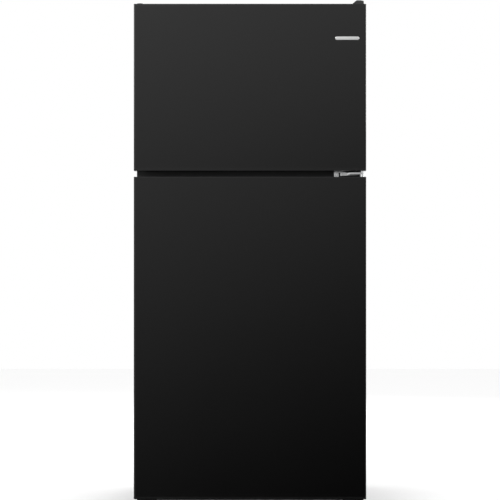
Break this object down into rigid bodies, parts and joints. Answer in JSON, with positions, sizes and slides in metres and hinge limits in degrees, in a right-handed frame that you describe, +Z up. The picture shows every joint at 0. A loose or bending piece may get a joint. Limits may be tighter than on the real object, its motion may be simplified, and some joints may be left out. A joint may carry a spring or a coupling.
{
  "type": "top freezer refrigerator",
  "caption": "Black top freezer refrigerator with hinged insulated doors, glass shelves, door bins, coupled crisper drawers, lidded dairy bin, fans, compressor and louvred rear cover.",
  "frame": {"origin": "on the floor under the middle of the outline", "axes": "+Z up, -Y out of the doors, +X towards the hinge side, which is on the right of a person facing the doors"},
  "size_m": [0.756, 0.768, 1.683],
  "materials": {
    "black_steel": "satin black enamel on sheet steel",
    "grey_steel": "dark grey painted sheet steel",
    "galvanized_steel": "galvanized sheet steel",
    "hinge_black": "black painted steel plate",
    "zinc_steel": "bright zinc plated steel",
    "black_plastic": "fine textured black plastic",
    "white_liner": "glossy white thermoformed plastic",
    "white_trim": "off-white moulded plastic",
    "clear_bin": "clear moulded plastic with a faint cool tint",
    "crisper_clear": "clear frosted drawer plastic",
    "shelf_glass": "clear tempered glass with a green edge",
    "bulb_glass": "frosted lamp glass",
    "foam": "rigid polyurethane foam, pale yellow",
    "gasket_rubber": "soft black magnetic gasket",
    "mount_rubber": "dark vibration mount rubber",
    "compressor_black": "black enamelled drawn steel",
    "coil_aluminium": "dull aluminium tube and fins",
    "wire_white": "white coated steel wire",
    "motor_grey": "grey painted motor body and bracket",
    "fan_black": "black moulded fan plastic",
    "roller_plastic": "hard grey roller plastic",
    "badge_metal": "bright brushed badge metal"
  },
  "bodies": {
    "cabinet": {"left_side_panel": "black_steel", "right_side_panel": "black_steel", "top_panel": "black_steel", "back_panel": "grey_steel", "mullion_rail": "black_steel", "base_frame": "galvanized_steel", "cabinet_foam": "foam", "freezer_liner": "white_liner", "refrigerator_liner": "white_liner", "base_grille": "black_plastic", "top_hinge": "hinge_black", "top_hinge_cover": "black_plastic", "center_hinge": "zinc_steel", "bottom_hinge": "hinge_black", "cabinet_screws": "zinc_steel", "hinge_hole_plugs": "black_plastic", "compressor": "compressor_black", "compressor_grommets": "mount_rubber", "condenser_coil": "compressor_black", "condenser_fan_motor": "motor_grey", "drain_pan": "black_plastic", "machine_cover": "grey_steel", "evaporator_coil": "coil_aluminium", "evaporator_cover": "white_liner", "evaporator_fan_motor": "motor_grey", "freezer_shelf": "wire_white", "shelf_frames": "white_trim", "shelf_glasses": "shelf_glass", "crisper_cover_frame": "white_trim", "crisper_cover_glass": "shelf_glass", "control_housing": "white_trim", "light_bulb": "bulb_glass"},
    "freezer_door": {"freezer_door_skin": "black_steel", "freezer_door_caps": "black_plastic", "freezer_door_foam": "foam", "freezer_door_liner": "white_liner", "freezer_door_gasket": "gasket_rubber", "freezer_bin_upper": "clear_bin", "freezer_bin_lower": "clear_bin", "name_badge": "badge_metal"},
    "refrigerator_door": {"refrigerator_door_skin": "black_steel", "refrigerator_door_caps": "black_plastic", "refrigerator_door_foam": "foam", "refrigerator_door_liner": "white_liner", "refrigerator_door_gasket": "gasket_rubber", "dairy_bin": "clear_bin", "door_bin_upper": "clear_bin", "door_bin_middle": "clear_bin", "gallon_bin": "clear_bin"},
    "dairy_lid": {"dairy_lid": "clear_bin"},
    "crisper_left": {"crisper_left": "crisper_clear"},
    "crisper_right": {"crisper_right": "crisper_clear"},
    "temperature_knob": {"temperature_knob": "white_trim"},
    "light_switch": {"light_switch": "white_trim"},
    "condenser_fan": {"condenser_fan": "fan_black"},
    "evaporator_fan": {"evaporator_fan": "white_trim"},
    "leveling_leg_left": {"leveling_leg_left": "zinc_steel"},
    "leveling_leg_right": {"leveling_leg_right": "zinc_steel"},
    "rear_roller_left": {"rear_roller_left": "roller_plastic"},
    "rear_roller_right": {"rear_roller_right": "roller_plastic"}
  },
  "joints": [
    {"name": "freezer_door_swing", "type": "hinge", "parent": "cabinet", "child": "freezer_door", "pos_m": [0.366, -0.3505, 1.39], "axis": [0, 0, 1], "range_deg": [0, 130]},
    {"name": "refrigerator_door_swing", "type": "hinge", "parent": "cabinet", "child": "refrigerator_door", "pos_m": [0.366, -0.3505, 0.577], "axis": [0, 0, 1], "range_deg": [0, 130]},
    {"name": "dairy_lid_lift", "type": "hinge", "parent": "refrigerator_door", "child": "dairy_lid", "pos_m": [0, -0.2915, 0.95], "axis": [1, 0, 0], "range_deg": [0, 80]},
    {"name": "crisper_left_slide", "type": "slide", "parent": "cabinet", "child": "crisper_left", "axis": [0, -1, 0], "range_m": [0, 0.275]},
    {"name": "crisper_right_slide", "type": "slide", "parent": "cabinet", "child": "crisper_right", "axis": [0, -1, 0], "range_m": [0, 0.275]},
    {"name": "temperature_knob_turn", "type": "hinge", "parent": "cabinet", "child": "temperature_knob", "pos_m": [0.04, -0.2315, 1.063], "axis": [0, 1, 0], "range_deg": [-135, 135]},
    {"name": "light_switch_travel", "type": "slide", "parent": "cabinet", "child": "light_switch", "axis": [0, -1, 0], "range_m": [0, 0.006]},
    {"name": "condenser_fan_spin", "type": "hinge", "parent": "cabinet", "child": "condenser_fan", "pos_m": [-0.015, 0.2565, 0.128], "axis": [1, 0, 0], "continuous": true},
    {"name": "evaporator_fan_spin", "type": "hinge", "parent": "cabinet", "child": "evaporator_fan", "pos_m": [0, 0.2635, 1.522], "axis": [0, 1, 0], "continuous": true},
    {"name": "leveling_leg_left_turn", "type": "hinge", "parent": "cabinet", "child": "leveling_leg_left", "pos_m": [-0.3558, -0.2745, 0.03], "axis": [0, 0, 1], "continuous": true},
    {"name": "leveling_leg_right_turn", "type": "hinge", "parent": "cabinet", "child": "leveling_leg_right", "pos_m": [0.3558, -0.2745, 0.03], "axis": [0, 0, 1], "continuous": true},
    {"name": "rear_roller_left_spin", "type": "hinge", "parent": "cabinet", "child": "rear_roller_left", "pos_m": [-0.3558, 0.3405, 0.022], "axis": [1, 0, 0], "continuous": true},
    {"name": "rear_roller_right_spin", "type": "hinge", "parent": "cabinet", "child": "rear_roller_right", "pos_m": [0.3558, 0.3405, 0.022], "axis": [1, 0, 0], "continuous": true}
  ],
  "couplings": [
    {"joint": "crisper_left_slide", "follows": "refrigerator_door_swing", "m_per_rad": 0.12},
    {"joint": "crisper_right_slide", "follows": "refrigerator_door_swing", "m_per_rad": 0.12},
    {"joint": "light_switch_travel", "follows": "refrigerator_door_swing", "m_per_rad": 0.0026}
  ]
}
